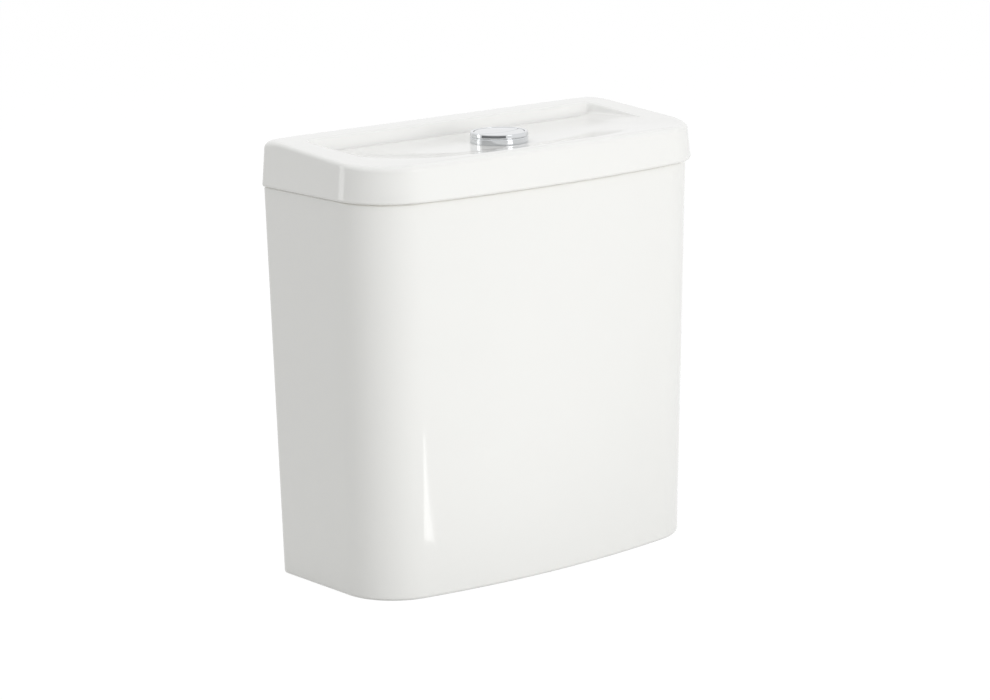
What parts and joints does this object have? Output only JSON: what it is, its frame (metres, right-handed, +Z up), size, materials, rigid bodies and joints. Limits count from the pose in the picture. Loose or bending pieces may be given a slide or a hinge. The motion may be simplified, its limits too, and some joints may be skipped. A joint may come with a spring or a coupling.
{
  "type": "toilet cistern",
  "caption": "Close-coupled toilet cistern: china tank and lift-off lid, two-part push button, flush valve and bottom-entry fill valve.",
  "frame": {"origin": "on the foot plane, under the middle of the lid's footprint, on the flush outlet's axis", "axes": "+X to the right seen from the front, +Y towards the wall, +Z up"},
  "size_m": [0.3696, 0.1744, 0.3784],
  "materials": {
    "vitreous_china": "glazed",
    "chrome_plating": "polished",
    "acetal_plastic": "moulded",
    "float_plastic": "moulded",
    "seal_rubber": "moulded",
    "sponge_rubber": "open cell foam",
    "stainless_steel": "drawn"
  },
  "bodies": {
    "cistern": {"tank": "vitreous_china", "valve_base": "acetal_plastic", "valve_base_gasket": "seal_rubber", "valve_backnut": "acetal_plastic", "pan_coupling_washer": "sponge_rubber", "valve_tower": "acetal_plastic", "rocker_frame": "acetal_plastic", "rocker_pins": "stainless_steel", "fill_valve_body": "acetal_plastic", "fill_valve_gasket": "seal_rubber", "fill_valve_backnut": "acetal_plastic", "inlet_strainer": "float_plastic", "fill_valve_sleeve": "acetal_plastic", "fill_valve_head": "acetal_plastic", "fill_valve_diaphragm": "seal_rubber", "fill_valve_cap": "acetal_plastic", "float_lever_pin": "acetal_plastic", "coupling_bolts": "stainless_steel", "cone_washers": "seal_rubber", "steel_washers": "stainless_steel", "coupling_nuts": "stainless_steel"},
    "lid": {"lid": "vitreous_china", "button_housing": "chrome_plating", "button_bezel": "chrome_plating", "lid_washer": "seal_rubber", "lid_nut": "acetal_plastic", "full_cap_spring": "stainless_steel", "half_cap_spring": "stainless_steel"},
    "full_button": {"full_flush_cap": "chrome_plating", "full_push_rod": "acetal_plastic"},
    "half_button": {"half_flush_cap": "chrome_plating", "half_push_rod": "acetal_plastic"},
    "full_rocker": {"full_rocker": "acetal_plastic"},
    "half_rocker": {"half_rocker": "acetal_plastic"},
    "flush_valve": {"overflow_tube": "acetal_plastic", "flush_seal": "seal_rubber", "flush_float": "float_plastic"},
    "inlet_float": {"fill_float": "float_plastic", "float_link_rod": "acetal_plastic"},
    "float_lever": {"float_lever": "acetal_plastic"}
  },
  "joints": [
    {"name": "lid_lift", "type": "slide", "parent": "cistern", "child": "lid", "axis": [0, 0, 1], "range_m": [0, 0.16]},
    {"name": "full_button_press", "type": "slide", "parent": "lid", "child": "full_button", "axis": [0, 0, 1], "range_m": [-0.005, 0], "stiffness_N_per_m": 300, "springref_m": 0.004, "deforming": ["full_cap_spring"]},
    {"name": "half_button_press", "type": "slide", "parent": "lid", "child": "half_button", "axis": [0, 0, 1], "range_m": [-0.005, 0], "stiffness_N_per_m": 300, "springref_m": 0.004, "deforming": ["half_cap_spring"]},
    {"name": "full_rocker_turn", "type": "hinge", "parent": "cistern", "child": "full_rocker", "pos_m": [-0.006, 0.0013, 0.281], "axis": [0, 1, 0], "range_deg": [0, 21]},
    {"name": "half_rocker_turn", "type": "hinge", "parent": "cistern", "child": "half_rocker", "pos_m": [0.006, -0.0152, 0.281], "axis": [0, -1, 0], "range_deg": [0, 22.7]},
    {"name": "flush_valve_lift", "type": "slide", "parent": "cistern", "child": "flush_valve", "axis": [0, 0, 1], "range_m": [0, 0.0066]},
    {"name": "inlet_float_rise", "type": "slide", "parent": "cistern", "child": "inlet_float", "axis": [0, 0, 1], "range_m": [0, 0.008]},
    {"name": "float_lever_turn", "type": "hinge", "parent": "cistern", "child": "float_lever", "pos_m": [0.11, 0.008, 0.29], "axis": [0, 1, 0], "range_deg": [0, 19.3]}
  ],
  "couplings": [
    {"joint": "full_rocker_turn", "follows": "full_button_press", "rad_per_m": -73},
    {"joint": "flush_valve_lift", "follows": "full_button_press", "ratio": -1.3},
    {"joint": "half_rocker_turn", "follows": "half_button_press", "rad_per_m": -78.9},
    {"joint": "float_lever_turn", "follows": "inlet_float_rise", "rad_per_m": 41.8}
  ]
}
